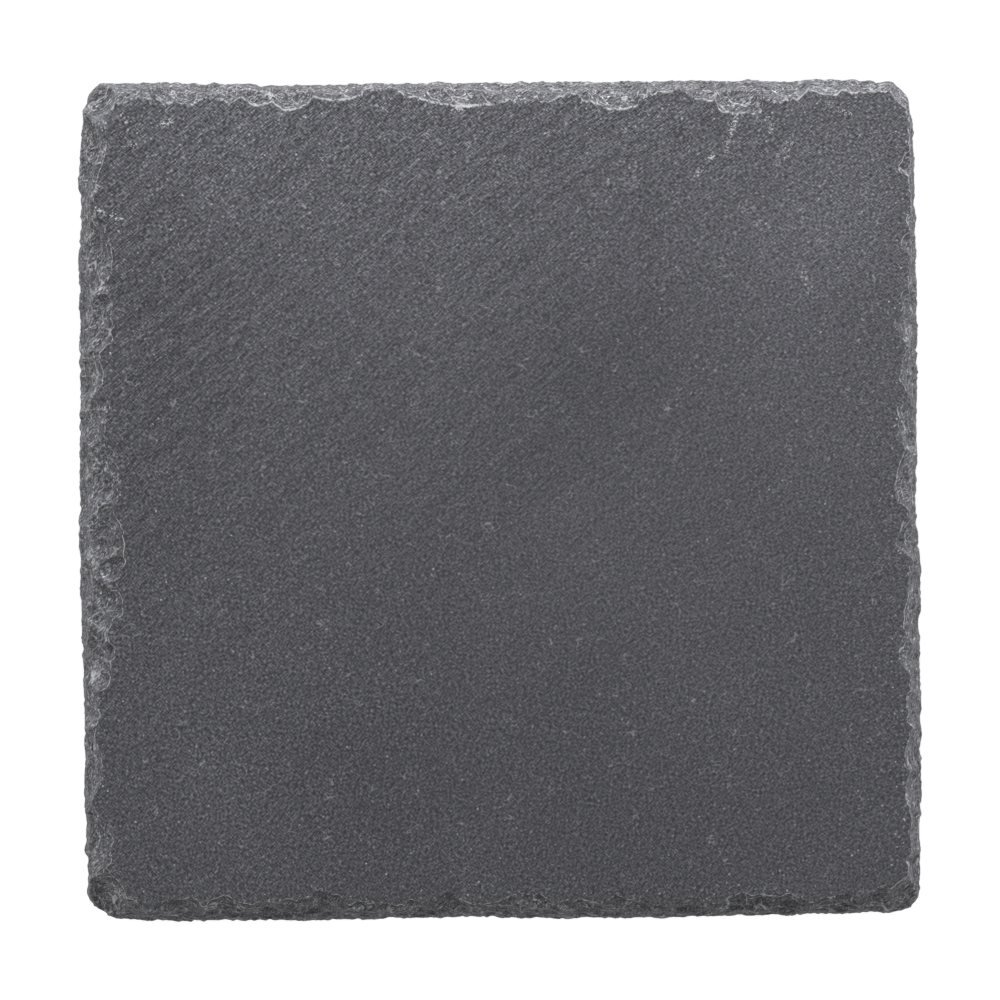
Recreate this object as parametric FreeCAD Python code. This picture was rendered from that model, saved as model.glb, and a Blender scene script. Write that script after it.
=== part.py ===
# Square slab of natural slate with hand-dressed edges, standing on four bonded rubber pads.
# Frame: millimetres, +Z up, +Y towards the rear edge, origin on the resting surface under the middle of the slab.
# The stone is a plate whose four sides lean in from the underside to the working face. The dressing tool has
# flaked each side, so that the face ends in a row of shallow shell-shaped scallops, each cut here by a sphere.
import FreeCAD
import Part

import math
import os
from collections import namedtuple

Vector = FreeCAD.Vector

# Driving dimensions.
HALF_SIDE = 50.0  # half of the nominal side of the square
STONE_THICKNESS = 5.0
CREST_INSET = 0.7  # how far the working face stands in from the underside's outline, where no flake is off

PAD_DIAMETER = 10.0
PAD_THICKNESS = 1.5
PAD_EDGE_RADIUS = 0.3  # rounding of the rubber at its lower rim
PAD_INSET = 12.0  # pad centre from the nominal side
ADHESIVE_DIAMETER = 9.6
ADHESIVE_THICKNESS = 0.2

ADHESIVE_BASE = PAD_THICKNESS
STONE_BASE = PAD_THICKNESS + ADHESIVE_THICKNESS
FACE_HEIGHT = STONE_BASE + STONE_THICKNESS

# The underside's outline, anticlockwise from the rear left corner. A dressed slate is a little out of square.
LEFT_SIDE = [(-50.1, 46.4), (-50.5, 39.0), (-50.35, 12.0), (-50.45, -7.0), (-49.9, -22.0), (-49.5, -46.9)]
FRONT_LEFT_CORNER = [(-49.2, -48.0), (-47.1, -49.8), (-45.4, -50.3)]
FRONT_SIDE = [(-38.0, -50.43), (-22.0, -50.4), (-4.0, -49.95), (8.0, -50.2), (26.0, -49.9), (47.5, -49.35)]
FRONT_RIGHT_CORNER = [(49.1, -48.9), (50.1, -47.8), (50.4, -46.6)]
RIGHT_SIDE = [(50.5, -25.0), (50.4, -8.0), (49.9, -3.0), (50.0, 22.0), (49.55, 45.0)]
REAR_RIGHT_CORNER = [(49.1, 46.6), (49.0, 48.1), (48.1, 49.3), (47.1, 50.1)]
REAR_SIDE = [(39.5, 50.43), (17.0, 50.2), (-8.0, 50.0), (-27.5, 49.7), (-37.0, 49.95), (-48.0, 50.05)]
REAR_LEFT_CORNER = [(-48.8, 49.3), (-49.4, 48.1)]
OUTLINE = (
    LEFT_SIDE + FRONT_LEFT_CORNER + FRONT_SIDE + FRONT_RIGHT_CORNER
    + RIGHT_SIDE + REAR_RIGHT_CORNER + REAR_SIDE + REAR_LEFT_CORNER
)

# One flake off the edge. along: its middle, measured along the side. width: its chord on the crest line.
# bite: how far into the face it reaches, from the nominal side. depth: 1 for a full shell, less for a thin spall.
Flake = namedtuple("Flake", "along width bite depth", defaults=(1.0,))

# The dressing tool's own blows: a row of full shells at an even pitch, whose widths and bites run in cycles.
BLOW_PITCH = 4.9
BLOW_WIDTHS = [6.4, 5.2, 7.0, 5.8, 4.8, 6.8, 5.4]
BLOW_BITES = [1.35, 1.05, 1.6, 1.2, 1.45]
FIRST_BLOW = -44.4
BLOWS_PER_SIDE = 19
RIGHT_BLOW_SHARE = 0.8  # the right side is dressed closer to its outline than the others

# Spalls that split off behind the blows, along the stone's layers, and set most of the crest line.
REAR_SPALLS = [
    Flake(-45.2, 5.2, 2.1, 0.7), Flake(-38.2, 7.0, 2.7, 0.45), Flake(-31.8, 5.4, 2.1, 0.6),
    Flake(-28.8, 5.0, 2.8, 0.4), Flake(-25.2, 7.0, 3.4, 0.4), Flake(-5.2, 4.6, 2.4, 0.5),
    Flake(-1.2, 6.0, 2.3, 0.4), Flake(2.6, 6.4, 2.4, 0.5), Flake(6.4, 6.6, 1.9, 0.7),
    Flake(13.4, 8.6, 3.5, 0.35), Flake(24.4, 5.4, 2.4, 0.6), Flake(28.4, 7.0, 4.0, 0.35),
    Flake(33.0, 8.0, 2.4, 0.5),
]
FRONT_SPALLS = [
    Flake(0.0, 94.0, 1.8, 0.3),  # one long layer gone along nearly the whole side
    Flake(-44.4, 6.0, 2.4, 0.7), Flake(-37.0, 6.4, 1.9, 0.8), Flake(-32.2, 7.6, 2.3, 0.7),
    Flake(-27.3, 6.8, 2.2, 0.7), Flake(-21.4, 9.0, 2.5, 0.6), Flake(-10.6, 5.6, 1.8, 0.8),
    Flake(-5.8, 6.6, 2.4, 0.6), Flake(-0.6, 8.0, 1.9, 0.8), Flake(3.0, 9.0, 3.0, 0.2),
    Flake(10.0, 7.2, 2.1, 0.8), Flake(15.6, 7.2, 2.3, 0.7), Flake(22.8, 7.6, 2.2, 0.7),
    Flake(29.3, 8.8, 2.8, 0.5), Flake(34.2, 7.8, 2.7, 0.6), Flake(40.2, 9.0, 2.5, 0.6),
    Flake(46.4, 9.4, 3.8, 0.5),
]
LEFT_SPALLS = [
    Flake(-40.4, 10.0, 3.5, 0.5), Flake(-31.6, 9.8, 2.5, 0.7), Flake(-24.2, 7.0, 2.0, 0.8),
    Flake(-18.4, 10.4, 3.6, 0.45), Flake(-12.6, 9.6, 4.3, 0.35), Flake(-5.4, 13.0, 5.1, 0.3),
    Flake(2.6, 13.6, 4.1, 0.45), Flake(9.2, 9.0, 2.9, 0.5), Flake(14.8, 6.6, 2.6, 0.6),
    Flake(21.2, 8.8, 3.8, 0.35), Flake(28.6, 11.6, 3.7, 0.45), Flake(37.6, 5.0, 1.6, 0.9),
    Flake(43.0, 8.8, 2.6, 0.6),
]
RIGHT_SPALLS = [
    Flake(-30.6, 5.4, 1.6, 0.8), Flake(-18.2, 5.6, 2.3, 0.6), Flake(-12.8, 7.0, 1.6, 0.8),
    Flake(-4.4, 5.4, 2.4, 0.6), Flake(2.2, 8.0, 2.9, 0.4), Flake(9.4, 9.4, 2.4, 0.6),
    Flake(15.2, 6.6, 2.2, 0.6), Flake(22.2, 7.6, 2.1, 0.7),
]

# A side seen from its middle: where its nominal line runs through, the way `along` counts, and the way in.
Side = namedtuple("Side", "middle along inward")
REAR = Side(Vector(0, HALF_SIDE, 0), Vector(1, 0, 0), Vector(0, -1, 0))
FRONT = Side(Vector(0, -HALF_SIDE, 0), Vector(1, 0, 0), Vector(0, 1, 0))
LEFT = Side(Vector(-HALF_SIDE, 0, 0), Vector(0, 1, 0), Vector(1, 0, 0))
RIGHT = Side(Vector(HALF_SIDE, 0, 0), Vector(0, 1, 0), Vector(-1, 0, 0))


def corner(x, y):
    """A corner as a short side of its own, across the diagonal, through that point of the outline."""
    inward = Vector(-x, -y, 0).normalize()
    return Side(Vector(x, y, 0), Vector(-inward.y, inward.x, 0), inward)


CORNER_FLAKES = [
    (corner(-48.9, 48.9), Flake(0.0, 7.2, 3.2)),
    (corner(48.6, 48.7), Flake(0.0, 5.4, 1.6)),
    (corner(49.7, -48.4), Flake(0.0, 8.0, 3.6)),
    (corner(-48.2, -48.9), Flake(0.0, 8.6, 3.8)),
]

FULL_SHELL = 0.9  # share of the thickness that the largest flake runs down
STEEPEST = 0.9  # keeps a small flake's sphere from undercutting the face


def inset_polygon(points, inset):
    """The outline with each edge moved in by the same distance, its corners mitred."""
    moved = []
    for i, here in enumerate(points):
        before = points[i - 1]
        after = points[(i + 1) % len(points)]
        into = (here - before).normalize()
        away = (after - here).normalize()
        normal_in = Vector(-into.y, into.x, 0)
        normal_out = Vector(-away.y, away.x, 0)
        bisector = (normal_in + normal_out).normalize()
        moved.append(here + bisector * (inset / bisector.dot(normal_in)))
    return moved


def make_plate():
    """The plate before dressing: a flat solid with leaning sides, one plane for each edge of the outline."""
    low = [Vector(x, y, STONE_BASE) for x, y in OUTLINE]
    high = [p + Vector(0, 0, STONE_THICKNESS) for p in inset_polygon(low, CREST_INSET)]
    faces = [
        Part.Face(Part.makePolygon(low + low[:1])),
        Part.Face(Part.makePolygon(high + high[:1])),
    ]
    for i in range(len(low)):
        j = (i + 1) % len(low)
        faces.append(Part.Face(Part.makePolygon([low[i], low[j], high[j], high[i], low[i]])))
    plate = Part.makeSolid(Part.makeShell(faces))
    return plate if plate.Volume > 0 else plate.reversed()


def make_flake_cutter(side, flake):
    """The sphere that meets the face in an arc of the flake's chord and bite, and meets the side at its depth."""
    bite = flake.bite - CREST_INSET
    arc_radius = ((flake.width / 2) ** 2 + bite**2) / (2 * bite)
    centre_inset = flake.bite - arc_radius
    reach = math.sqrt(max(arc_radius**2 - centre_inset**2, bite**2))
    drop = flake.depth * min(FULL_SHELL * STONE_THICKNESS, STEEPEST * reach)
    rise = (reach**2 - drop**2) / (2 * drop)
    radius = math.hypot(arc_radius, rise)
    centre = side.middle + side.along * flake.along + side.inward * centre_inset
    centre.z = FACE_HEIGHT + rise
    sphere = Part.makeSphere(radius, centre)
    outward = -side.inward
    seam_turn = math.degrees(math.atan2(outward.y, outward.x))
    sphere.rotate(centre, Vector(0, 0, 1), seam_turn)
    return sphere


def dressing_blows(share=1.0):
    """One side's row of full shells. share: how much of the usual bite past the crest line they take."""
    return [
        Flake(
            FIRST_BLOW + i * BLOW_PITCH,
            BLOW_WIDTHS[i % len(BLOW_WIDTHS)],
            CREST_INSET + share * (BLOW_BITES[i % len(BLOW_BITES)] - CREST_INSET),
        )
        for i in range(BLOWS_PER_SIDE)
    ]


def make_stone():
    """The dressed slab: the plate with every flake cut away."""
    flakes = list(CORNER_FLAKES)
    for side, spalls, share in (
        (REAR, REAR_SPALLS, 1.0),
        (FRONT, FRONT_SPALLS, 1.0),
        (LEFT, LEFT_SPALLS, 1.0),
        (RIGHT, RIGHT_SPALLS, RIGHT_BLOW_SHARE),
    ):
        flakes += [(side, flake) for flake in dressing_blows(share) + spalls]
    stone = make_plate()
    for side, flake in flakes:
        stone = stone.cut(make_flake_cutter(side, flake))
    return stone.Solids[0]


def make_pad():
    """One die-cut rubber pad, its lower rim rounded, at the origin."""
    pad = Part.makeCylinder(PAD_DIAMETER / 2, PAD_THICKNESS)
    rim = [e for e in pad.Edges if e.BoundBox.ZMax < PAD_THICKNESS / 2 and len(e.Vertexes) == 1]
    return pad.makeFillet(PAD_EDGE_RADIUS, rim)


def make_adhesive():
    """One disc of transfer tape, at the height where it bonds a pad to the stone."""
    return Part.makeCylinder(ADHESIVE_DIAMETER / 2, ADHESIVE_THICKNESS, Vector(0, 0, ADHESIVE_BASE))


def main():
    os.makedirs("parts", exist_ok=True)
    nodes = {"slate_slab": make_stone()}
    pad_place = HALF_SIDE - PAD_INSET
    for row, y in (("front", -pad_place), ("rear", pad_place)):
        for column, x in (("left", -pad_place), ("right", pad_place)):
            place = Vector(x, y, 0)
            nodes[f"foot_pad_{row}_{column}"] = make_pad().translated(place)
            nodes[f"pad_adhesive_{row}_{column}"] = make_adhesive().translated(place)
    for name, shape in nodes.items():
        box = shape.BoundBox
        print(
            f"{name}: valid {shape.isValid()}, {len(shape.Solids)} solid, volume {shape.Volume:.2f} mm3, "
            f"x {box.XMin:.2f} to {box.XMax:.2f}, y {box.YMin:.2f} to {box.YMax:.2f}, "
            f"z {box.ZMin:.2f} to {box.ZMax:.2f}"
        )
        shape.exportStep(f"parts/{name}.step")


main()
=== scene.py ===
# The looks of a small square slab of dressed natural slate on four bonded rubber pads.
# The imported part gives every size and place. The stone's mesh is made again from it: its flaked sides are
# sampled, then roughened and layered as slate breaks, and its face is rippled.
# Lengths here are in millimetres, and the meshes are in metres.
import itertools
import math

import bpy
import numpy as np
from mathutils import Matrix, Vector
from mathutils.bvhtree import BVHTree
from mathutils.geometry import delaunay_2d_cdt


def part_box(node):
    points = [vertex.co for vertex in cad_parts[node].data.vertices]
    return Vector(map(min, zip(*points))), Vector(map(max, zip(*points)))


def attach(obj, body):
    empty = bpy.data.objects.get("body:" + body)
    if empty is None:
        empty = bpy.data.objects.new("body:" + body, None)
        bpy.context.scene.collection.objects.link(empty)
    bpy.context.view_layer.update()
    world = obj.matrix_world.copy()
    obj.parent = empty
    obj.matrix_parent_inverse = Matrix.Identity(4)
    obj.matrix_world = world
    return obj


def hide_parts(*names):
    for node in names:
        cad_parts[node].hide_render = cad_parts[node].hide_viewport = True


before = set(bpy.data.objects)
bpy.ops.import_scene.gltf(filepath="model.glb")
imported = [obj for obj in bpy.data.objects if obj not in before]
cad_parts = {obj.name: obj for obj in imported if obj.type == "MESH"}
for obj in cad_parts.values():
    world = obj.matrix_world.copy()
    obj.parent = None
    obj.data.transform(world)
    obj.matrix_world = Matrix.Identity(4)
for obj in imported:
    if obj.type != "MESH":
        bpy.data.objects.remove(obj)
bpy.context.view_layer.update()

MM = 0.001
DOWN = Vector((0, 0, -1))
SLAB = "slate_slab"
PLACES = ["front_left", "front_right", "rear_left", "rear_right"]

slab_low, slab_high = (np.array(corner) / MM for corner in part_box(SLAB))
UNDERSIDE = slab_low[2]
FACE = slab_high[2]
THICKNESS = FACE - UNDERSIDE
HALF_SIDE = slab_high[0]

# How the stone's mesh is laid out.
SPINE = HALF_SIDE - 9.5  # half side of the square inside the face from which rays run out to the sides
STATION_PITCH = 0.2  # between rays along a side
FAN_RAYS = 60  # round each corner
FIRST_REACH = 2.0  # along each ray, from the spine: the sides' shape is sampled from here out
LAST_REACH = 14.0
SAMPLE_STEP = 0.1
PROFILE_POINTS = 240  # along each ray, while the sides are being shaped
SIDE_ROWS = 28  # of the finished mesh, from the crest down to the underside
CREST_ROWS = [0.5, 0.12]  # rings of the face just inside the crest line
CREST_DROP = 0.012  # a point that far below the face is past the crest
SCAR_SIZE = (2.1, 2.1, 1.2)  # of the small flake scars on the broken sides
FACE_PITCH = 0.5  # between the mesh's points
UNDERSIDE_PITCH = 1.5
CRUMBS = 200  # small chips off the crest
THIN_SCALES = 8  # wide shallow ones

FAR = 9.0  # stands for any distance too far to matter

rng = np.random.default_rng(7)


# ---------------------------------------------------------------- noise

# A hash of whole numbers: large odd factors for the three places and the seed, then two rounds of mixing.
PLACE_FACTORS = (73856093, 19349663, 83492791)
SEED_FACTOR = 668265263
MIXING_ROUNDS = ((15, 2246822519), (13, 3266489917))
LOW_32_BITS = 0xFFFFFFFF
LOW_16_BITS = 0xFFFF


def hashed(cells, seed):
    """A number from -1 to 1 for each lattice cell in cells (n, 3)."""
    mixed = np.bitwise_xor.reduce(cells * PLACE_FACTORS, axis=1) ^ seed * SEED_FACTOR
    for shift, factor in MIXING_ROUNDS:
        mixed = (mixed ^ (mixed >> shift)) * factor & LOW_32_BITS
    mixed ^= mixed >> 16
    return 2 * (mixed & LOW_16_BITS) / LOW_16_BITS - 1


def smooth_noise(points, seed):
    """Smooth noise from -1 to 1 at points (n, 3), with features about one unit across."""
    cells = np.floor(points).astype(np.int64)
    part = points - cells
    weights = part * part * (3 - 2 * part)
    total = np.zeros(len(points))
    for corner in itertools.product((0, 1), repeat=3):
        share = np.prod(np.where(corner, weights, 1 - weights), axis=1)
        total += share * hashed(cells + np.array(corner), seed)
    return total


def fractal(points, seed, octaves=3):
    """Octaves of smooth noise at points (n, 2) or (n, 3), each half as large and half as strong as the last.

    Each use has its own seed, so that no two of the patterns fall together.
    """
    if points.shape[1] == 2:
        points = np.column_stack([points, np.zeros(len(points))])
    total = np.zeros(len(points))
    for octave in range(octaves):
        total += smooth_noise(points * 2**octave + 17.3 * octave, seed + octave) / 2**octave
    return total


def scars(points, seed):
    """Distances from points (n, 3) to the nearest and second nearest of centres scattered one to a cell."""
    cells = np.floor(points).astype(np.int64)
    nearest = np.full(len(points), np.inf)
    second = np.full(len(points), np.inf)
    for step in itertools.product((-1, 0, 1), repeat=3):
        cell = cells + np.array(step)
        jitter = np.column_stack([hashed(cell, seed + axis) for axis in range(3)])
        away = np.linalg.norm(cell + 0.5 + 0.42 * jitter - points, axis=1)
        second = np.minimum(second, np.maximum(away, nearest))
        nearest = np.minimum(nearest, away)
    return nearest, second


def smoothstep(low, high, value):
    """Eases from 0 at low to 1 at high, and holds outside them. Low may be the larger of the two."""
    part = np.clip((value - low) / (high - low), 0, 1)
    return part * part * (3 - 2 * part)


# ---------------------------------------------------------------- the stone's grain and relief

GRAIN_SLOPE = 0.90  # rise of the grain at the middle of the slab: it runs up to the right
GRAIN_BEND = 0.001  # how much the rise grows for each millimetre to the right
GRAIN_TWIST = -0.003  # the same for each millimetre to the rear
RIPPLES = [(3.3, 0.052, 41), (2.1, 0.035, 43)]  # wavelength and height, with a seed
CALM = ((8, 6), (30, 26))  # middle and half size of the part of the face where the grain is weakest
LIVELY = ((-30, -26), (22, 20))  # the same for a part at the front left where it is stronger


def grain_frame(xy):
    """Distance along the grain and across it, for points (n, 2). The grain is steepest at the front left."""
    x, y = xy[:, 0], xy[:, 1]
    lean = math.hypot(1, GRAIN_SLOPE)
    along = x + GRAIN_SLOPE * y
    across = y - GRAIN_SLOPE * x - GRAIN_BEND * x**2 / 2 - GRAIN_TWIST * x * y
    return np.column_stack([along, across]) / lean


def ripple_strength(xy):
    """The ripples are strong at the rear left, and die away to the right and to the front."""
    diagonal = (xy[:, 1] - 0.75 * xy[:, 0]) / 50
    return 0.25 + 0.75 * smoothstep(-0.4, 1.1, diagonal + 0.3 * fractal(xy / 22, 31, 2))


def patch_share(xy, middle, half_size):
    """How much of a soft oval patch each point is in: 1 at its middle, and falling away round it."""
    return np.exp(-np.sum(((xy - middle) / half_size) ** 2, axis=1))


def grain_strength(xy):
    """How strongly the grain shows: less in the middle of the face, more at the rear and the front left."""
    rear = 0.18 * smoothstep(15, 48, xy[:, 1])
    return 1 - 0.2 * patch_share(xy, *CALM) + 0.14 * patch_share(xy, *LIVELY) + rear


def coarseness(xy):
    """How coarsely the sides are broken: most at the rear, and least at the left and the right."""
    across, back = np.abs(xy[:, 0]) / HALF_SIDE, xy[:, 1] / HALF_SIDE
    return 1 + 0.3 * smoothstep(0.86, 0.92, back) - 0.28 * smoothstep(0.86, 0.92, across)


def face_relief(xy):
    """Height of the riven face over its plane: ripples across the grain, broad swells and fine grit."""
    grain = grain_frame(xy)
    ripple = np.zeros(len(xy))
    for wavelength, height, seed in RIPPLES:
        drift = 1.1 * fractal(grain / (30, 7), seed, 2)
        swing = 0.6 + 0.5 * fractal(grain / (24, 5), seed + 5, 1)
        ripple += height * swing * np.sin(2 * math.pi * (grain[:, 1] / wavelength + drift))
    swell = fractal(xy / 24, 47, 2)
    grit = fractal(grain / (3.0, 1.2), 53, 2)
    return ripple_strength(xy) * ripple + 0.05 * swell + 0.008 * grit


def underside_relief(xy):
    """How far the underside stands in from its plane: rough, but flat where the pads are bonded."""
    grain = grain_frame(xy)
    rough = fractal(grain / (7.0, 1.8), 61, 3) + 1.9
    depth = 0.05 * np.clip(rough, 0, 4)
    for place in PLACES:
        low, high = (np.array(corner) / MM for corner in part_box(f"pad_adhesive_{place}"))
        middle = (low + high)[:2] / 2
        away = np.hypot(*(xy - middle).T)
        depth *= smoothstep(0.6, 1.6, away / (high[0] - middle[0]) - 0.3)
    return depth


# ---------------------------------------------------------------- the stone's sides

def rim_stations():
    """Rays from the spine out to the sides, anticlockwise from the right side: their starts and ways."""
    run = np.linspace(-SPINE, SPINE, round(2 * SPINE / STATION_PITCH), endpoint=False)[:, None]
    fan = np.linspace(0, math.pi / 2, FAN_RAYS, endpoint=False)[:, None]
    starts = []
    ways = []
    for out in ((1, 0), (0, 1), (-1, 0), (0, -1)):
        out = np.array(out, float)
        along = np.array([-out[1], out[0]])
        starts += [out * SPINE + along * run, (out + along) * SPINE + 0 * fan]
        ways += [out + 0 * run, out * np.cos(fan) + along * np.sin(fan)]
    return np.vstack(starts), np.vstack(ways)


def sample_sides(starts, ways):
    """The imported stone's height over its underside along each ray: reaches and heights, both (n, m)."""
    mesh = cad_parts[SLAB].data
    tree = BVHTree.FromPolygons([v.co for v in mesh.vertices], [p.vertices for p in mesh.polygons])
    outside = 20.0  # a reach that is well clear of the stone
    low_level = UNDERSIDE + 0.05
    grid = np.arange(FIRST_REACH, LAST_REACH, SAMPLE_STEP)
    share = np.linspace(0, 1, PROFILE_POINTS)
    reaches = np.empty((len(starts), PROFILE_POINTS))
    heights = np.empty((len(starts), PROFILE_POINTS))
    for i, (start, way) in enumerate(zip(starts, ways)):
        far = Vector((*(start + way * outside), low_level)) * MM
        rim = outside - tree.ray_cast(far, Vector((*-way, 0)))[3] / MM
        reach = grid[grid < rim - 0.02]
        points = start + way * reach[:, None]
        wander = 0.22 * np.column_stack([fractal(points / 1.7, seed, 3) for seed in (71, 73)])
        known_reach = [0.0]
        known_height = [THICKNESS]
        for distance, (x, y) in zip(reach, points + wander):
            hit = tree.ray_cast(Vector((x, y, FACE + 1)) * MM, DOWN)
            if hit[0] is not None:
                known_reach.append(distance)
                known_height.append(hit[0].z / MM - UNDERSIDE)
        known_reach.append(rim)
        known_height.append(0.0)
        reaches[i] = FIRST_REACH + share * (rim - FIRST_REACH)
        sampled = np.interp(reaches[i], known_reach, known_height)
        heights[i] = np.maximum.accumulate(sampled[::-1])[::-1]
    return reaches, heights


def crest_index(heights):
    """For each ray, the last point that is still on the face."""
    fallen = heights < THICKNESS - CREST_DROP
    return np.maximum(np.argmax(fallen, axis=1) - 1, 0)


def strike_flake(rays, reaches, heights, width, bite, slope):
    """Takes a flake off the crest at a random ray, as a sphere would cut it.

    Seen from above, the cut is an arc of that width, which bites that far into the face. The slope, in
    degrees, is how steeply it falls away from the face.
    """
    starts, ways = rays
    station = rng.integers(len(starts))
    crest = reaches[station, crest_index(heights)[station]]
    arc = ((width / 2) ** 2 + bite**2) / (2 * bite)
    rise = arc / math.tan(math.radians(slope))
    radius = math.hypot(arc, rise)
    middle = starts[station] + ways[station] * (crest - bite + arc)
    window = int(1.5 * width / STATION_PITCH) + 4
    rows = np.arange(station - window, station + window + 1) % len(starts)
    points = starts[rows, None] + ways[rows, None] * reaches[rows, :, None]
    inside = radius**2 - np.sum((points - middle) ** 2, axis=2)
    floor = THICKNESS + rise - np.sqrt(np.maximum(inside, 0))
    heights[rows] = np.where(inside > 0, np.minimum(heights[rows], floor), heights[rows])


def strike_small_flakes(rays, reaches, heights):
    """The crumbs and thin scales that break off between the dressing blows, which make the crest ragged."""
    for _ in range(CRUMBS):
        width = rng.uniform(0.5, 1.0) * rng.choice([1.0, 1.6, 2.6])
        bite = width * rng.uniform(0.12, 0.3)
        strike_flake(rays, reaches, heights, width, bite, rng.uniform(28, 62))
    for _ in range(THIN_SCALES):
        width = rng.uniform(3.0, 7.0)
        bite = width * rng.uniform(0.04, 0.08)
        strike_flake(rays, reaches, heights, width, bite, rng.uniform(8, 20))


def layer_steps(heights, points):
    """The heights pulled towards the stone's cleavage layers, as small ledges that wander along the side."""
    levels = np.cumsum(np.concatenate([[-1.0], rng.uniform(0.35, 1.1, 14)]))  # of the ledges' treads
    wander = 0.35 * fractal(points / 9, 83, 2)
    shifted = heights + wander
    below = np.clip(np.searchsorted(levels, shifted, side="right") - 1, 0, len(levels) - 2)
    gap = levels[below + 1] - levels[below]
    part = np.clip((shifted - levels[below]) / gap, 0, 1)
    steep = 4.5  # how sharply a riser turns into a tread
    stepped = np.where(part < 0.5, 0.5 * (2 * part) ** steep, 1 - 0.5 * (2 - 2 * part) ** steep)
    clear = smoothstep(0.5, 1.8, THICKNESS - heights) * smoothstep(0.1, 0.5, heights)
    strength = clear * np.clip(0.6 + 0.6 * fractal(points / 4, 89, 2), 0, 0.85)
    return heights + strength * (stepped - part) * gap


def break_surface(starts, ways, reaches, heights):
    """Roughens and layers the broken sides. Gives the final reach and height of every profile point."""
    points = (starts[:, None] + ways[:, None] * reaches[:, :, None]).reshape(-1, 2)
    height = heights.ravel()
    depth = THICKNESS - height
    broken = smoothstep(0.0, 0.35, depth) * smoothstep(0.0, 0.4, height)
    height = height + broken * (0.13 * fractal(points / 1.6, 91, 3) + 0.04 * fractal(points / 0.42, 97, 2))
    height = layer_steps(np.clip(height, 0, THICKNESS), points)
    shear = np.column_stack([points / 2.6, height / 0.42])  # long thin cells that lie along the layers
    ragged = 0.1 * fractal(points / 1.1, 103, 2) + 0.1 * fractal(points / 0.5, 105, 2)
    push = broken * 0.17 * fractal(shear, 101, 2) + smoothstep(0.4, 1.5, depth) * ragged
    return reaches + push.reshape(reaches.shape), height.reshape(heights.shape)


def side_grid():
    """The flaked sides as a grid of points, (rays, rows, 3), from the crest line down to the underside.

    Gives the rays, the grid, and how far each of its points is from the nearest ridge between two scars.
    """
    starts, ways = rim_stations()
    reaches, heights = sample_sides(starts, ways)
    strike_small_flakes((starts, ways), reaches, heights)
    crest = crest_index(heights)
    final_reach, final_height = break_surface(starts, ways, reaches, heights)
    grid = np.empty((len(starts), SIDE_ROWS, 3))
    row_share = np.linspace(0, 1, SIDE_ROWS)
    for i, first in enumerate(crest):
        reach = final_reach[i, first:]
        height = final_height[i, first:]
        length = np.concatenate([[0], np.cumsum(np.hypot(np.diff(reach), np.diff(height)))])
        at = row_share * length[-1]
        grid[i, :, :2] = starts[i] + ways[i] * np.interp(at, length, reach)[:, None]
        grid[i, :, 2] = np.interp(at, length, height)
    grid, ridge_gap = scar_sides(grid, ways)
    return starts, ways, grid, ridge_gap


def scar_sides(grid, ways):
    """Hollows small scars all over the broken sides, which meet in sharp ridges, and frets the crest.

    Gives the new grid, and how far each of its points is from the nearest ridge between two scars.
    """
    down = np.gradient(grid, axis=1)
    along = np.roll(grid, -1, axis=0) - np.roll(grid, 1, axis=0)
    outward = np.cross(down, along)
    outward /= np.linalg.norm(outward, axis=2, keepdims=True) + 1e-9
    flat = grid.reshape(-1, 3)
    near, next_near = scars(flat / SCAR_SIZE, 107)
    small, _ = scars(flat / 0.65, 113)
    fade = smoothstep(0.0, 0.4, THICKNESS - flat[:, 2]) * (0.45 + 0.55 * smoothstep(0.0, 1.2, flat[:, 2]))
    push = fade * coarseness(flat[:, :2]) * (0.18 * (near**2 - 0.4) + 0.07 * (small - 0.5))
    grid = grid + push.reshape(grid.shape[:2])[:, :, None] * outward
    fret = 0.05 * fractal(grid[:, 0] / 0.5, 127, 2)
    grid[:, 0, :2] += fret[:, None] * ways
    grid[:, :, 2] = np.clip(grid[:, :, 2], 0, THICKNESS)
    grid[:, -1, 2] = 0
    return grid, (next_near - near).reshape(grid.shape[:2])


# ---------------------------------------------------------------- the stone's mesh

def points_within(ring, centre_reach, pitch, margin):
    """A jittered field of points that keep that far inside a ring of points about the origin."""
    side = np.arange(-HALF_SIDE, HALF_SIDE, pitch)
    field = np.stack(np.meshgrid(side, side), axis=-1).reshape(-1, 2)
    field = field + rng.uniform(-0.3, 0.3, field.shape) * pitch
    angles = np.arctan2(ring[:, 1], ring[:, 0])
    order = np.argsort(angles)
    limit = np.interp(
        np.arctan2(field[:, 1], field[:, 0]),
        angles[order],
        np.hypot(*ring[order].T),
        period=2 * math.pi,
    )
    away = np.hypot(*field.T)
    return field[away < limit - margin * np.maximum(1, away / centre_reach)]


def fill_ring(ring, pitch):
    """Fills a ring of points with triangles: the new points inside it, and the triangles.

    The triangles number the ring's points first, and then the new ones.
    """
    inner = points_within(ring, HALF_SIDE, pitch, 0.6 * pitch)
    corners = [Vector(p) for p in np.vstack([ring, inner])]
    made, _, faces, sources, _, _ = delaunay_2d_cdt(corners, [], [list(range(len(ring)))], 1, 1e-7)
    if len(made) != len(corners) or any(source != [i] for i, source in enumerate(sources)):
        raise ValueError("the ring crosses itself, or two of its points are one")
    used = np.unique(faces)
    return inner[used[len(ring):] - len(ring)], np.searchsorted(used, faces)


def crest_rings(starts, ways, grid):
    """Rings of the face just inside the crest line, the innermost first."""
    crest_reach = np.sum((grid[:, 0, :2] - starts) * ways, axis=1)
    rings = []
    for back in CREST_ROWS:
        xy = starts + ways * (crest_reach - back)[:, None]
        rings.append(np.column_stack([xy, np.full(len(xy), THICKNESS)]))
    return rings


def wall_faces(ring_count, count):
    """The faces between one ring of count points and the next, for all the rings."""
    faces = []
    for a in range(0, (ring_count - 1) * count, count):
        b = a + count
        for i in range(count):
            j = (i + 1) % count
            faces.append((a + i, b + i, b + j, a + j))
    return faces


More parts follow.
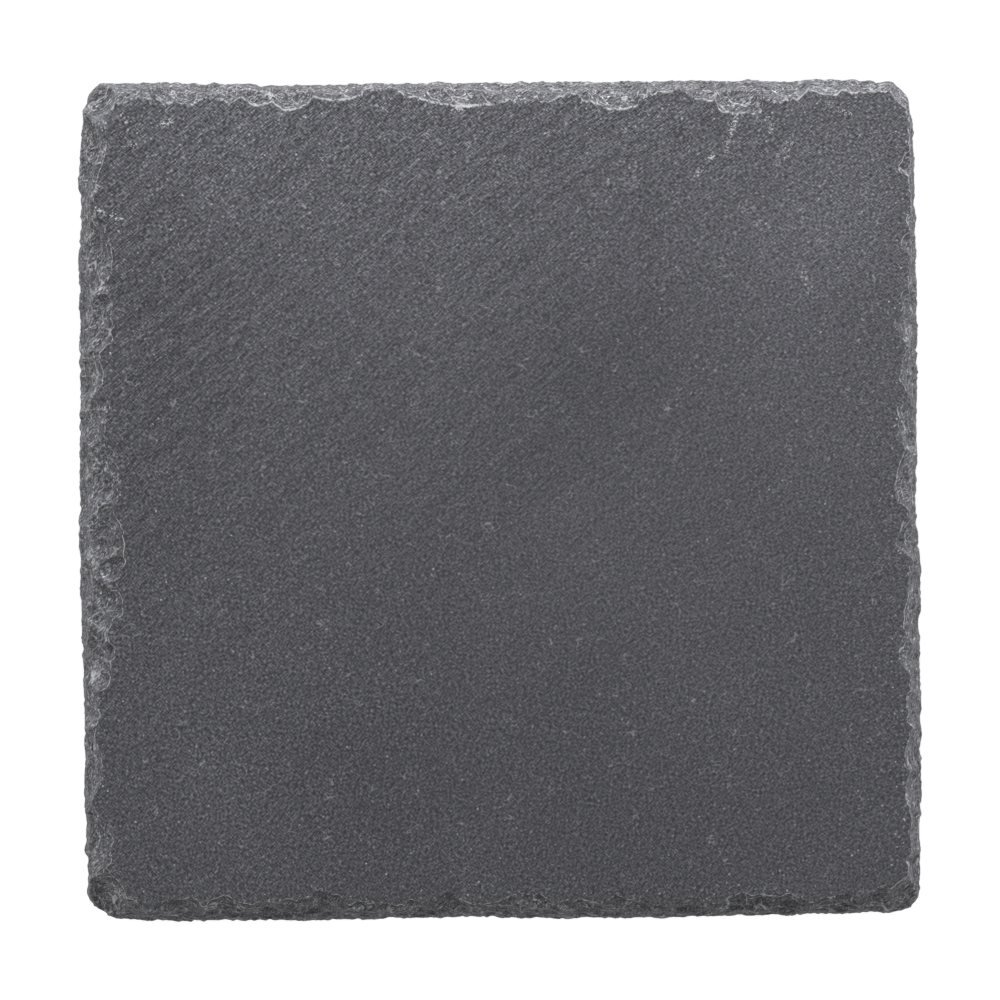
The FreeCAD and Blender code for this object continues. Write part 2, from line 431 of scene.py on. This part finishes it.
def cap_faces(triangles, count, ring_start, inner_start):
    """The triangles that fill a ring of count points, with their points numbered as in the whole mesh."""
    return np.where(triangles < count, triangles + ring_start, triangles - count + inner_start).tolist()


def line_gaps(grid, ridge_gap, total):
    """How far each of the mesh's points is from the crest line, and from the nearest ridge between scars."""
    count = len(grid)
    steps = np.linalg.norm(np.diff(grid, axis=1), axis=2)
    past_crest = np.column_stack([np.zeros(count), np.cumsum(steps, axis=1)])
    near_crest = np.concatenate([np.repeat(CREST_ROWS, count), past_crest.T.ravel()])
    crest_gap = np.full(total, FAR)
    crest_gap[:len(near_crest)] = near_crest
    scar_gap = np.full(total, FAR)
    scar_gap[len(CREST_ROWS) * count:len(near_crest)] = ridge_gap.T.ravel()
    return crest_gap, scar_gap


def build_slab():
    """The stone as one closed mesh: the riven face, its crest, the flaked sides and the underside."""
    starts, ways, grid, ridge_gap = side_grid()
    rings = crest_rings(starts, ways, grid) + [grid[:, row] for row in range(SIDE_ROWS)]
    face_inner, face_triangles = fill_ring(rings[0][:, :2], FACE_PITCH)
    under_inner, under_triangles = fill_ring(rings[-1][:, :2], UNDERSIDE_PITCH)
    face_points = np.column_stack([face_inner, np.full(len(face_inner), THICKNESS)])
    under_points = np.column_stack([under_inner, underside_relief(under_inner)])
    points = np.vstack(rings + [face_points, under_points])
    on_face = smoothstep(0.9, 0.0, THICKNESS - points[:, 2])
    points[:, 2] += on_face * face_relief(points[:, :2])

    count = len(grid)
    face_start = len(rings) * count
    under_start = face_start + len(face_inner)
    faces = wall_faces(len(rings), count)
    faces += cap_faces(face_triangles, count, 0, face_start)
    faces += cap_faces(under_triangles[:, ::-1], count, face_start - count, under_start)
    slab = make_piece("slate_stone", points + (0, 0, UNDERSIDE), faces)
    paint_stone(slab.data, points, *line_gaps(grid, ridge_gap, len(points)))
    slab.data.set_sharp_from_angle(angle=math.radians(32))
    return slab


def make_piece(name, points, faces):
    """A mesh object from points in millimetres."""
    mesh = bpy.data.meshes.new(name)
    mesh.from_pydata((points * MM).tolist(), [], faces)
    mesh.shade_smooth()
    mesh.update()
    piece = bpy.data.objects.new(name, mesh)
    bpy.context.scene.collection.objects.link(piece)
    return piece


# Pale bruises and scratches: a stroke from one point to another, its half width, and its strength.
STROKES = [
    ((28.2, 45.8), (27.0, 41.8), 0.35, 1.0),
    ((25.4, 41.0), (24.8, 40.6), 0.25, 1.0),
    ((24.2, 39.8), (22.9, 38.0), 0.2, 1.0),
    ((32.0, 45.4), (32.4, 44.2), 0.5, 0.6),
    ((34.6, 43.0), (34.0, 40.8), 0.6, 0.6),
    ((39.2, 47.2), (41.8, 45.9), 0.4, 0.8),
    ((36.0, 27.8), (36.8, 24.6), 0.35, 0.7),
    ((-49.2, 45.3), (-48.4, 45.1), 0.45, 1.0),
    ((-45.0, 45.6), (-44.5, 44.9), 0.2, 1.0),
    ((-44.0, 42.8), (-43.7, 42.2), 0.5, 0.8),
    ((-40.2, 44.9), (-39.2, 45.0), 0.5, 0.8),
    ((-47.8, 34.7), (-47.3, 34.3), 0.45, 1.0),
    ((-46.3, 33.8), (-45.4, 33.5), 0.5, 1.0),
    ((-48.0, 37.4), (-48.3, 36.6), 0.35, 0.8),
    ((-5.4, 46.6), (-3.6, 47.0), 0.4, 1.0),
    ((-47.6, -46.6), (-44.6, -47.4), 0.5, 0.7),
]


# Broad patches of the face, lighter or darker than the rest: middle, half size, and amount. The first,
# across the rear, is painted light: the rear of the face made lighter, as nearness to the rear softbox would
# make it.
PATCHES_AND_PAINTED_LIGHT = [
    ((0.0, 50.0), (80.0, 28.0), 0.12),
    ((39.8, 34.3), (8.0, 9.0), 0.16),
    ((-34.0, -34.4), (8.0, 9.0), 0.12),
    ((13.0, 18.0), (15.0, 13.0), -0.14),
    ((-30.0, 38.0), (16.0, 9.0), 0.06),
    ((-41.0, 26.0), (8.0, 14.0), -0.10),
    ((-8.0, -30.0), (20.0, 9.0), -0.06),
]


def bruises(xy):
    """How strongly the strokes mark each point of the face."""
    mark = np.zeros(len(xy))
    for start, end, half_width, strength in STROKES:
        start = np.array(start)
        way = np.array(end) - start
        share = np.clip((xy - start) @ way / (way @ way), 0, 1)
        away = np.hypot(*(xy - start - share[:, None] * way).T)
        mark = np.maximum(mark, strength * smoothstep(1.6, 0.2, away / half_width))
    return mark


def patches_and_painted_light(xy):
    """How much lighter or darker each point of the face is for the broad ovals of tone that it lies in, with
    painted light across the rear.
    """
    return sum(amount * patch_share(xy, middle, half_size) for middle, half_size, amount in PATCHES_AND_PAINTED_LIGHT)


def convexity(mesh, points):
    """How far each vertex stands out of its neighbours, per length of edge. Ridges are positive."""
    edges = np.empty(2 * len(mesh.edges), np.int32)
    mesh.edges.foreach_get("vertices", edges)
    edges = edges.reshape(-1, 2)
    normals = np.empty(3 * len(points), np.float32)
    mesh.vertices.foreach_get("normal", normals)
    normals = normals.reshape(-1, 3)
    total = np.zeros_like(points)
    number = np.zeros(len(points))
    length = np.zeros(len(points))
    span = np.linalg.norm(points[edges[:, 0]] - points[edges[:, 1]], axis=1)
    for here, there in (edges.T, edges.T[::-1]):
        np.add.at(total, here, points[there])
        np.add.at(number, here, 1)
        np.add.at(length, here, span)
    stand = np.sum((points - total / number[:, None]) * normals, axis=1) / (length / number)
    spread = stand.copy()
    for here, there in (edges.T, edges.T[::-1]):
        np.add.at(spread, here, stand[there] * 0.5)
    return spread / (1 + 0.5 * number)


def paint_stone(mesh, points, crest_gap, scar_gap):
    """The attributes that the slate's material reads."""
    xy = points[:, :2]
    depth = THICKNESS - points[:, 2]
    near_rim = smoothstep(6.0, 2.4, HALF_SIDE - np.abs(xy).max(axis=1)) * (depth < 0.3)
    # The crest's pale line is painted highlight, drawn where the gap is small, so a stretched gap makes it
    # thin, except at the rear, which faces the rear softbox.
    crest_highlight_stretch = 2.1 - 1.3 * smoothstep(42, 46, xy[:, 1])
    store(mesh, "grain", "FLOAT_VECTOR", np.column_stack([grain_frame(xy), points[:, 2]]))
    numbers = {
        "fresh": smoothstep(0.02, 0.35, depth),
        "crest_gap": crest_gap * crest_highlight_stretch,
        "coarse": coarseness(xy),
        "scar_gap": scar_gap,
        "ridge": np.clip(convexity(mesh, points) * 4.0, -1, 1),
        "bruise": bruises(xy) * (depth < 1.5),
        "rim": near_rim - 0.2 * patch_share(xy, *CALM),
        "ripple": ripple_strength(xy),
        "grain_strength": grain_strength(xy),
        # These numbers hold painted light too: the rear of the face is lighter.
        "patch_and_painted_light": patches_and_painted_light(xy),
    }
    for name, values in numbers.items():
        store(mesh, name, "FLOAT", values)


def store(mesh, name, kind, values):
    """Writes one attribute of the mesh's points."""
    attribute = mesh.attributes.new(name, kind, "POINT")
    field = "vector" if kind == "FLOAT_VECTOR" else "value"
    attribute.data.foreach_set(field, np.ascontiguousarray(values, np.float32).ravel())


# ---------------------------------------------------------------- pads and tape

SEGMENTS = 96  # round each pad and disc


def ring_at(circle, radius, height):
    """A level ring of points from a circle of unit radius."""
    return np.column_stack([circle * radius, np.full(len(circle), height)])


def lathe(name, profile, centre, wobble, seed):
    """A closed turned piece from (radius, height) points, foot to top, its rim a little out of round."""
    turn = np.linspace(0, 2 * math.pi, SEGMENTS, endpoint=False)
    circle = np.column_stack([np.cos(turn), np.sin(turn)])
    circle = circle * (1 + wobble * fractal(circle * 2.2, seed, 3)[:, None])
    rings = [ring_at(circle, radius, height) for radius, height in profile]
    points = np.vstack(rings + [[(0, 0, profile[0][1])], [(0, 0, profile[-1][1])]])
    faces = []
    for row in range(len(profile) - 1):
        for i in range(SEGMENTS):
            j = (i + 1) % SEGMENTS
            a = row * SEGMENTS
            faces.append((a + i, a + j, a + SEGMENTS + j, a + SEGMENTS + i))
    foot = len(points) - 2
    top = len(points) - 1
    last = (len(profile) - 1) * SEGMENTS
    for i in range(SEGMENTS):
        j = (i + 1) % SEGMENTS
        faces.append((foot, j, i))
        faces.append((top, last + i, last + j))
    piece = make_piece(name, points + (*centre, 0), faces)
    piece.data.set_sharp_from_angle(angle=math.radians(50))
    return piece


def disc_size(node):
    """A disc node's centre, radius, foot and top."""
    low, high = (np.array(corner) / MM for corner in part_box(node))
    return (low + high)[:2] / 2, (high[0] - low[0]) / 2, low[2], high[2]


def build_pad(place, seed):
    """One die-cut rubber pad: rounded at its foot, its cut wall drawn in a little at the middle."""
    centre, radius, foot, top = disc_size(f"foot_pad_{place}")
    rounding = 0.3
    waist = 0.07
    profile = [(radius * share, foot) for share in (0.35, 0.7)]
    for turn in np.linspace(0, math.pi / 2, 6):
        out = rounding * math.sin(turn)
        up = rounding * (1 - math.cos(turn))
        profile.append((radius - rounding + out, foot + up))
    for share in np.linspace(0, 1, 7)[1:]:
        height = foot + rounding + share * (top - foot - rounding)
        profile.append((radius - waist * math.sin(math.pi * share), height))
    profile += [(radius * share, top) for share in (0.7, 0.35)]
    return lathe(f"rubber_pad_{place}", profile, centre, 0.004, seed)


def build_tape(place, seed):
    """One disc of transfer tape, squeezed out a little unevenly round its edge."""
    centre, radius, foot, top = disc_size(f"pad_adhesive_{place}")
    middle = (foot + top) / 2
    bead = (top - foot) * 0.35
    profile = [(radius * 0.6, foot), (radius - bead, foot), (radius, middle), (radius - bead, top)]
    profile.append((radius * 0.6, top))
    return lathe(f"transfer_tape_{place}", profile, centre, 0.008, seed)


# ---------------------------------------------------------------- materials

class Shader:
    """A material's node tree, built by short calls. Values are numbers or other nodes' outputs."""

    def __init__(self, name):
        self.material = bpy.data.materials.new(name)
        self.material.use_nodes = True
        self.tree = self.material.node_tree
        self.surface = self.tree.nodes["Principled BSDF"]

    def node(self, kind, inputs, **settings):
        """A new node with those settings, and its inputs set to numbers or linked to outputs."""
        made = self.tree.nodes.new(kind)
        for setting, value in settings.items():
            setattr(made, setting, value)
        for key, value in inputs.items():
            if isinstance(value, bpy.types.NodeSocket):
                self.tree.links.new(value, made.inputs[key])
            else:
                made.inputs[key].default_value = value
        return made

    def number(self, name):
        """One of the mesh's painted numbers."""
        return self.node("ShaderNodeAttribute", {}, attribute_name=name).outputs["Fac"]

    def vector(self, name):
        """One of the mesh's painted vectors."""
        return self.node("ShaderNodeAttribute", {}, attribute_name=name).outputs["Vector"]

    def turned(self, vector, degrees, size):
        """The vector turned about Z and then measured in units of that size."""
        turned = self.node("ShaderNodeVectorRotate", {"Vector": vector, "Angle": math.radians(degrees)})
        scale = [1 / s for s in size]
        inputs = {0: turned.outputs[0], 1: scale}
        return self.node("ShaderNodeVectorMath", inputs, operation="MULTIPLY").outputs[0]

    def noise(self, vector, detail=2.0, roughness=0.55, distortion=0.0):
        """Noise in space, with features about one unit of the vector across."""
        inputs = {"Vector": vector, "Scale": 1.0, "Detail": detail}
        inputs |= {"Roughness": roughness, "Distortion": distortion}
        return self.node("ShaderNodeTexNoise", inputs).outputs["Fac"]

    def flat_noise(self, vector, degrees, length, width):
        """Even noise over a flat face, in streaks of that length and width, turned by that much."""
        place = self.turned(vector, degrees, (length, width, 1))
        inputs = {"Vector": place, "Scale": 1.0, "Detail": 0.0, "Distortion": 0.25}
        return self.node("ShaderNodeTexNoise", inputs, noise_dimensions="2D").outputs["Fac"]

    def math(self, operation, a, b=0.0):
        """One sum. Operations on a single value leave the second one out."""
        return self.node("ShaderNodeMath", {0: a, 1: b}, operation=operation).outputs[0]

    def chain(self, operation, values):
        """The operation on the first two values, then on that and the third, and so on."""
        result = values[0]
        for value in values[1:]:
            result = self.math(operation, result, value)
        return result

    def add(self, *values):
        return self.chain("ADD", values)

    def times(self, *values):
        return self.chain("MULTIPLY", values)

    def highest(self, *values):
        return self.chain("MAXIMUM", values)

    def centred(self, noise, amount):
        """The noise about nought, and that many times as strong."""
        return self.times(self.math("SUBTRACT", noise, 0.5), amount)

    def spread(self, value, low, high, to_low=0.0, to_high=1.0):
        """Maps low to to_low and high to to_high, and holds outside them."""
        inputs = {0: value, 1: low, 2: high, 3: to_low, 4: to_high}
        return self.node("ShaderNodeMapRange", inputs).outputs[0]

    def mix(self, share, a, b):
        """The colour that is that share of the way from a to b."""
        return self.node("ShaderNodeMix", {0: share, 6: a, 7: b}, data_type="RGBA").outputs[2]

    def tint(self, colour, amount):
        """The colour made lighter or darker by that factor."""
        inputs = {0: colour, "Scale": amount}
        return self.node("ShaderNodeVectorMath", inputs, operation="SCALE").outputs[0]

    def bump(self, height, depth_mm, strength=1.0, normal=None):
        """The normal of a surface that the height raises, on top of another normal if one is given."""
        inputs = {"Height": height, "Distance": depth_mm * MM, "Strength": strength}
        if normal is not None:
            inputs["Normal"] = normal
        return self.node("ShaderNodeBump", inputs).outputs[0]

    def link(self, value, socket):
        """Feeds one of the surface's own sockets."""
        self.tree.links.new(value, self.surface.inputs[socket])


SLATE = (0.060, 0.060, 0.068, 1)
FRESH_SLATE = (0.088, 0.088, 0.097, 1)
# Also the colour of the painted highlights on the edges and on the folds' rims.
PALE_SLATE_AND_HIGHLIGHT = (0.42, 0.42, 0.435, 1)
RUBBER = (0.014, 0.014, 0.015, 1)
DUST = (0.06, 0.058, 0.055, 1)
TAPE = (0.56, 0.50, 0.36, 1)
CLOUDED_TAPE = (0.70, 0.66, 0.54, 1)
PAPER = ((0.87, 0.87, 0.87, 1), (0.89, 0.89, 0.89, 1))
FLOOR_GLOW = 0.76

# Sizes of the slate's patterns: along the grain, across it and, for those with a third, upwards.
HAIR = (0.45, 0.155)
FLECK = (2.0, 0.14)
ROW = (14.0, 0.6)
BLOTCH = (26, 19, 26)
CLOUD = (1.6, 1.0, 1.6)
GRIT = (0.44, 0.15, 0.13)
CHUNK = (1.3, 1.3, 0.5)
LAYER = (2.4, 2.4, 0.13)
FOLD = (6.0, 6.0, 4.0)
SPECK_CELL = (0.95, 0.95, 0.95)
POWDER = (0.30, 0.20, 0.3)
CURL = (1.5, 1.1, 3.0)
CURL_AREA = (1.9, 1.9, 1.9)
BREAK = (0.55, 0.55, 0.55)
STRETCH = (7.0, 7.0, 7.0)
SLATE_BUMP = 0.10  # height of a pattern of strength 1


def riven_face(s, grain):
    """The split face's tone, height and roughness: fine crossed hairs, and streaks where it is rippled."""
    hairs = s.flat_noise(grain, 0, *HAIR)
    cross_hairs = s.flat_noise(grain, 85, *HAIR)
    flecks = s.flat_noise(grain, 0, *FLECK)
    rows = s.flat_noise(grain, 0, *ROW)
    blotches = s.noise(s.turned(grain, 0, BLOTCH))
    clouds = s.noise(s.turned(grain, 0, CLOUD), 1.0)
    ripple = s.number("ripple")
    fine_tone = s.add(s.centred(hairs, 1.7), s.centred(cross_hairs, 1.6))
    fine_tone = s.times(fine_tone, s.number("grain_strength"))
    streaks = s.times(s.add(s.centred(flecks, 1.2), s.centred(rows, 0.45)), ripple)
    # Broad tone, with painted light that lightens the rear of the face.
    broad = s.add(s.centred(blotches, 0.3), s.centred(clouds, 0.09), s.number("patch_and_painted_light"))
    height = s.add(s.times(s.add(hairs, cross_hairs), 0.2), s.times(flecks, 0.3, ripple))
    roughness = s.spread(flecks, 0.3, 0.7, 0.86, 0.70)
    return s.add(fine_tone, streaks, broad), height, roughness


def broken_sides(s, grain):
    """The broken sides' tone and height: grit, chunks and thin layers, and folds with a painted highlight
    along their edge.
    """
    grit = s.noise(s.turned(grain, 0, GRIT), 0.0, distortion=0.5)
    chunks = s.noise(s.turned(grain, 0, CHUNK), 3.0, 0.6)
    strata = s.noise(s.turned(grain, 0, LAYER), 1.0)
    level = s.node("ShaderNodeSeparateXYZ", {0: grain}).outputs[2]
    folds = s.add(s.times(s.noise(s.turned(grain, 0, FOLD), 3.0, 0.5), 3.2), s.times(level, 0.8))
    fold_part = s.math("FRACT", folds)
    # Painted highlight: a pale line on each fold's ledge rim, where it would catch the light.
    painted_fold_highlight = s.spread(fold_part, 0.82, 0.97, 0, 0.65)
    tone = s.add(s.centred(grit, 3.4), s.centred(chunks, 0.8), s.centred(strata, 1.1))
    tone = s.add(s.times(tone, s.number("grain_strength")), painted_fold_highlight)
    fold_height = s.times(s.math("SUBTRACT", fold_part, folds), -0.7)
    height = s.add(s.times(grit, 1.2), s.times(chunks, 1.6), fold_height, s.times(strata, 1.2))
    return tone, s.times(height, s.number("coarse"))


def pale_marks(s, grain):
    """How pale the face's specks, curled scratches and powdery bruises make it."""
    cell = s.turned(grain, 0, SPECK_CELL)
    specks = s.node("ShaderNodeTexVoronoi", {"Vector": cell, "Scale": 1.0}, voronoi_dimensions="2D")
    luck = s.node("ShaderNodeSeparateColor", {0: specks.outputs["Color"]}).outputs[0]
    luck = s.add(luck, s.times(s.number("rim"), 0.19))
    powder = s.noise(s.turned(grain, 20, POWDER), 2.0, 0.8)
    speck = s.times(s.spread(specks.outputs["Distance"], 0.05, 0.16, 1, 0), s.spread(luck, 0.93, 0.99))
    speck = s.times(speck, s.spread(powder, 0.42, 0.54))
    curls = s.math("ABSOLUTE", s.centred(s.noise(s.turned(grain, 40, CURL), 1.0), 1.0))
    sparse = s.noise(s.turned(grain, 0, CURL_AREA), 1.0)
    scratch = s.times(s.spread(curls, 0.006, 0.018, 0.32, 0), s.spread(sparse, 0.60, 0.68))
    bruise = s.spread(s.add(powder, s.times(s.number("bruise"), 0.22)), 0.68, 0.76)
    return s.highest(bruise, speck, scratch)


def painted_edge_highlights(s, grain):
    """How much painted highlight the crest line, the ridges between scars and the other ridges get: pale
    lines where these edges catch the light.
    """
    breaks = s.noise(s.turned(grain, 0, BREAK), 2.0, 0.8)
    breaks = s.add(breaks, s.centred(s.noise(s.turned(grain, 0, STRETCH), 1.0), 0.5))
    # Painted highlight along the crest line.
    crest = s.times(s.spread(s.number("crest_gap"), 0.05, 0.17, 0.8, 0), s.spread(breaks, 0.43, 0.58))
    scar_ridge_highlight = s.times(s.spread(s.number("scar_gap"), 0.02, 0.07, 0.8, 0), s.spread(breaks, 0.40, 0.56))
    # Painted highlight on convex ridges.
    ridge = s.spread(s.number("ridge"), 0.4, 0.95, 0, 0.22)
    return s.highest(crest, scar_ridge_highlight, ridge)


def slate_material():
    """Charcoal slate: a finely streaked face, lighter broken sides, pale marks, painted highlights on the
    edges and painted shade in the hollows.
    """
    s = Shader("slate")
    grain = s.vector("grain")
    fresh = s.number("fresh")
    face_tone, face_height, roughness = riven_face(s, grain)
    side_tone, side_height = broken_sides(s, grain)
    tone = s.node("ShaderNodeMix", {0: fresh, 2: face_tone, 3: side_tone}).outputs[0]
    # Painted shade: the colour is darkened down to 0.82 where the surface is hollow.
    painted_hollow_shade = s.spread(s.number("ridge"), -0.75, -0.2, 0.82, 1)
    colour = s.tint(s.mix(fresh, SLATE, FRESH_SLATE), s.times(s.math("EXPONENT", tone), painted_hollow_shade))
    # The stone's pale marks, and the painted highlights on its edges.
    pale = s.highest(pale_marks(s, grain), painted_edge_highlights(s, grain))
    s.link(s.mix(pale, colour, PALE_SLATE_AND_HIGHLIGHT), "Base Color")
    face_normal = s.bump(face_height, SLATE_BUMP, s.math("SUBTRACT", 1.0, fresh))
    s.link(s.bump(side_height, SLATE_BUMP, fresh, face_normal), "Normal")
    s.link(roughness, "Roughness")
    s.surface.inputs["Specular IOR Level"].default_value = 0.35
    return s.material


def object_grain(s, size):
    """Object coordinates measured in units of that many millimetres."""
    place = s.node("ShaderNodeTexCoord", {}).outputs["Object"]
    return s.turned(place, 0, (size * MM, size * MM, size * MM))


def rubber_material():
    """Black sheet rubber, with a fine open texture and a little pale dust."""
    s = Shader("pad_rubber")
    pores = s.noise(object_grain(s, 0.16), 3.0, 0.6)
    dust = s.noise(object_grain(s, 2.2), 3.0, 0.6)
    colour = s.mix(s.spread(dust, 0.45, 0.8, 0, 0.5), RUBBER, DUST)
    s.link(s.tint(colour, s.spread(pores, 0.3, 0.7, 0.75, 1.3)), "Base Color")
    s.link(s.bump(pores, 0.05), "Normal")
    s.link(s.spread(dust, 0.3, 0.8, 0.72, 0.92), "Roughness")
    return s.material


def tape_material():
    """Amber transfer tape, clouded where the glue has flowed."""
    s = Shader("transfer_tape")
    cloud = s.noise(object_grain(s, 0.9), 3.0, 0.6)
    s.link(s.mix(s.spread(cloud, 0.3, 0.7), TAPE, CLOUDED_TAPE), "Base Color")
    s.link(s.bump(cloud, 0.02), "Normal")
    s.link(s.spread(cloud, 0.3, 0.7, 0.30, 0.45), "Roughness")
    return s.material


def floor_material():
    """Plain white studio paper, a little lit from within so that it stays pale round the slab."""
    s = Shader("floor_paper")
    paper = s.noise(object_grain(s, 3.0), 2.0)
    s.link(s.mix(paper, *PAPER), "Base Color")
    s.surface.inputs["Roughness"].default_value = 0.95
    s.surface.inputs["Specular IOR Level"].default_value = 0.0
    s.surface.inputs["Emission Color"].default_value = (1, 1, 1, 1)
    s.surface.inputs["Emission Strength"].default_value = FLOOR_GLOW
    return s.material


# ---------------------------------------------------------------- stage, light and camera

FLOOR_SIZE = 4.0  # metres
DOME = 0.38  # brightness of the even light from all round
LIGHT_ELEVATION = math.radians(24)
LIGHT_SIZE = (400, 160)
LIGHTS = {  # the way to each, its distance and its watts
    "rear": ((0.12, 1), 240, 1.08),
    "left": ((-1, 0.25), 400, 0.75),
    "right": ((1, 0.25), 400, 0.65),
}
LENS = 250  # mm, long, as a catalogue photographer would use
SENSOR = 36
FRAME_WIDTH = 119.2  # what the picture takes in at the height of the face


def build_stage():
    """The floor under the pads, an even dome of light, and the soft lights. Gives the lights."""
    bpy.ops.mesh.primitive_plane_add(size=FLOOR_SIZE, location=(0, 0, 0))
    floor = bpy.context.object
    floor.name = "studio_floor"
    floor.data.materials.append(floor_material())

    world = bpy.data.worlds.new("studio_dome")
    world.use_nodes = True
    world.node_tree.nodes["Background"].inputs["Color"].default_value = (1.0, 1.0, 1.0, 1)
    world.node_tree.nodes["Background"].inputs["Strength"].default_value = DOME
    bpy.context.scene.world = world
    return [build_softbox(name, *place) for name, place in LIGHTS.items()]


def build_softbox(name, way, distance, power):
    """A wide soft light, low on that side of the slab and turned to it."""
    lamp = bpy.data.lights.new(f"{name}_softbox", "AREA")
    lamp.shape = "RECTANGLE"
    lamp.size, lamp.size_y = (length * MM for length in LIGHT_SIZE)
    lamp.energy = power
    softbox = bpy.data.objects.new(lamp.name, lamp)
    bpy.context.scene.collection.objects.link(softbox)
    level = Vector((*way, 0)).normalized() * math.cos(LIGHT_ELEVATION)
    softbox.location = (level + Vector((0, 0, math.sin(LIGHT_ELEVATION)))) * distance * MM
    softbox.rotation_euler = softbox.location.to_track_quat("Z", "Y").to_euler()
    return softbox


def light_only(softboxes, pieces):
    """Keeps the soft lights off the floor, so that they throw no long shadows."""
    lit = bpy.data.collections.new("lit_by_softboxes")
    for piece in pieces:
        lit.objects.link(piece)
    for softbox in softboxes:
        softbox.light_linking.receiver_collection = lit


def build_camera():
    """Straight down on the middle of the face, with the rear edge at the top of the picture."""
    data = bpy.data.cameras.new("camera")
    data.lens = LENS
    data.sensor_width = SENSOR
    camera = bpy.data.objects.new("camera", data)
    bpy.context.scene.collection.objects.link(camera)
    distance = FRAME_WIDTH * LENS / SENSOR
    camera.location = (0, 0, (FACE + distance) * MM)
    bpy.context.scene.camera = camera


# ---------------------------------------------------------------- putting it together

def main():
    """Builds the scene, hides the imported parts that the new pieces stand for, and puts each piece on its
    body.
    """
    build_camera()
    softboxes = build_stage()
    slab = build_slab()
    slab.data.materials.append(slate_material())
    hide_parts(SLAB)
    pieces = [slab]
    rubber = rubber_material()
    tape = tape_material()
    for seed, place in enumerate(PLACES, start=200):
        pad = build_pad(place, seed)
        pad.data.materials.append(rubber)
        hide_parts(f"foot_pad_{place}")
        disc = build_tape(place, seed + 50)
        disc.data.materials.append(tape)
        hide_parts(f"pad_adhesive_{place}")
        pieces += [pad, disc]
    for piece in pieces:
        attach(piece, "root")
    light_only(softboxes, pieces)

    scene = bpy.context.scene
    scene.view_settings.view_transform = "Standard"
    scene.view_settings.look = "None"


main()
